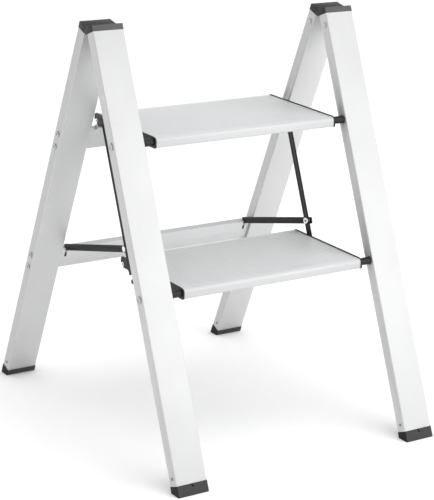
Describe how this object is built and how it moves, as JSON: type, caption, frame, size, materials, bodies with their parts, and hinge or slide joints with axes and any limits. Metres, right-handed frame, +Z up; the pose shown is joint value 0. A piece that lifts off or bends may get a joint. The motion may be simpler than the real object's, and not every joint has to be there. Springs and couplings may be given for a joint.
{
  "type": "step stool",
  "caption": "Slim folding aluminium step stool with ribbed treads, flat rails, black hinge caps and feet, and side links that fold the treads with the frame.",
  "frame": {"origin": "centre of the footprint on the floor, with the stool standing open", "axes": "+Z up, +X across the stool, -Y towards the person stepping on"},
  "size_m": [0.4616, 0.5494, 0.62],
  "materials": {
    "rail_aluminium": "fine satin anodised",
    "tread_aluminium": "satin anodised, ribbed along its length",
    "black_plastic": "fine matt moulding",
    "foot_plastic": "matt non-slip moulding",
    "bumper_rubber": "matt",
    "black_steel": "satin black powder coat",
    "zinc_steel": "bright zinc plate"
  },
  "bodies": {
    "front_frame": {"front_left_rail": "rail_aluminium", "front_right_rail": "rail_aluminium", "front_left_hinge_cap": "black_plastic", "front_right_hinge_cap": "black_plastic", "left_hinge_pin": "zinc_steel", "right_hinge_pin": "zinc_steel", "front_hinge_cap_rivets": "zinc_steel", "front_left_foot": "foot_plastic", "front_right_foot": "foot_plastic", "front_foot_pins": "zinc_steel", "upper_axle_rod": "zinc_steel", "lower_axle_rod": "zinc_steel", "upper_axle_bushes": "black_plastic", "lower_axle_bushes": "black_plastic", "fold_bumpers": "bumper_rubber"},
    "rear_frame": {"rear_left_rail": "rail_aluminium", "rear_right_rail": "rail_aluminium", "rear_left_hinge_cap": "black_plastic", "rear_right_hinge_cap": "black_plastic", "rear_hinge_cap_rivets": "zinc_steel", "rear_left_foot": "foot_plastic", "rear_right_foot": "foot_plastic", "rear_foot_pins": "zinc_steel", "upper_crossbar": "rail_aluminium", "lower_crossbar": "rail_aluminium", "upper_crossbar_screws": "zinc_steel", "lower_crossbar_screws": "zinc_steel"},
    "upper_step": {"upper_tread": "tread_aluminium", "upper_left_end_cap": "black_plastic", "upper_right_end_cap": "black_plastic", "upper_end_cap_screws": "zinc_steel", "upper_left_link_pin": "black_steel", "upper_right_link_pin": "black_steel"},
    "lower_step": {"lower_tread": "tread_aluminium", "lower_left_end_cap": "black_plastic", "lower_right_end_cap": "black_plastic", "lower_end_cap_screws": "zinc_steel", "lower_left_link_pin": "black_steel", "lower_right_link_pin": "black_steel"},
    "left_linkage": {"left_link": "black_steel", "left_strut_rivet": "zinc_steel", "left_strut_spacer": "zinc_steel"},
    "right_linkage": {"right_link": "black_steel", "right_strut_rivet": "zinc_steel", "right_strut_spacer": "zinc_steel"},
    "left_brace": {"left_strut": "black_steel"},
    "right_brace": {"right_strut": "black_steel"}
  },
  "joints": [
    {"name": "frame_fold", "type": "hinge", "parent": "front_frame", "child": "rear_frame", "pos_m": [0, 0.01071, 0.60815], "axis": [-1, 0, 0], "range_deg": [0, 44.9]},
    {"name": "upper_step_fold", "type": "hinge", "parent": "front_frame", "child": "upper_step", "pos_m": [0, -0.06738, 0.45718], "axis": [1, 0, 0], "range_deg": [0, 63.23]},
    {"name": "lower_step_fold", "type": "hinge", "parent": "front_frame", "child": "lower_step", "pos_m": [0, -0.15424, 0.25549], "axis": [1, 0, 0], "range_deg": [0, 63.23]},
    {"name": "left_link_fold", "type": "hinge", "parent": "upper_step", "child": "left_linkage", "pos_m": [-0.16485, 0.06463, 0.45418], "axis": [-1, 0, 0], "range_deg": [0, 63.23]},
    {"name": "left_strut_fold", "type": "hinge", "parent": "left_linkage", "child": "left_brace", "pos_m": [-0.16855, -0.00958, 0.28188], "axis": [-1, 0, 0], "range_deg": [0, 94.5]},
    {"name": "right_link_fold", "type": "hinge", "parent": "upper_step", "child": "right_linkage", "pos_m": [0.16485, 0.06463, 0.45418], "axis": [-1, 0, 0], "range_deg": [0, 63.23]},
    {"name": "right_strut_fold", "type": "hinge", "parent": "right_linkage", "child": "right_brace", "pos_m": [0.16855, -0.00958, 0.28188], "axis": [-1, 0, 0], "range_deg": [0, 94.5]}
  ],
  "couplings": [
    {"joint": "upper_step_fold", "follows": "frame_fold", "ratio": 1.4081},
    {"joint": "lower_step_fold", "follows": "frame_fold", "ratio": 1.4081},
    {"joint": "left_link_fold", "follows": "frame_fold", "ratio": 1.4081},
    {"joint": "left_strut_fold", "follows": "frame_fold", "ratio": 2.1045},
    {"joint": "right_link_fold", "follows": "frame_fold", "ratio": 1.4081},
    {"joint": "right_strut_fold", "follows": "frame_fold", "ratio": 2.1045}
  ]
}
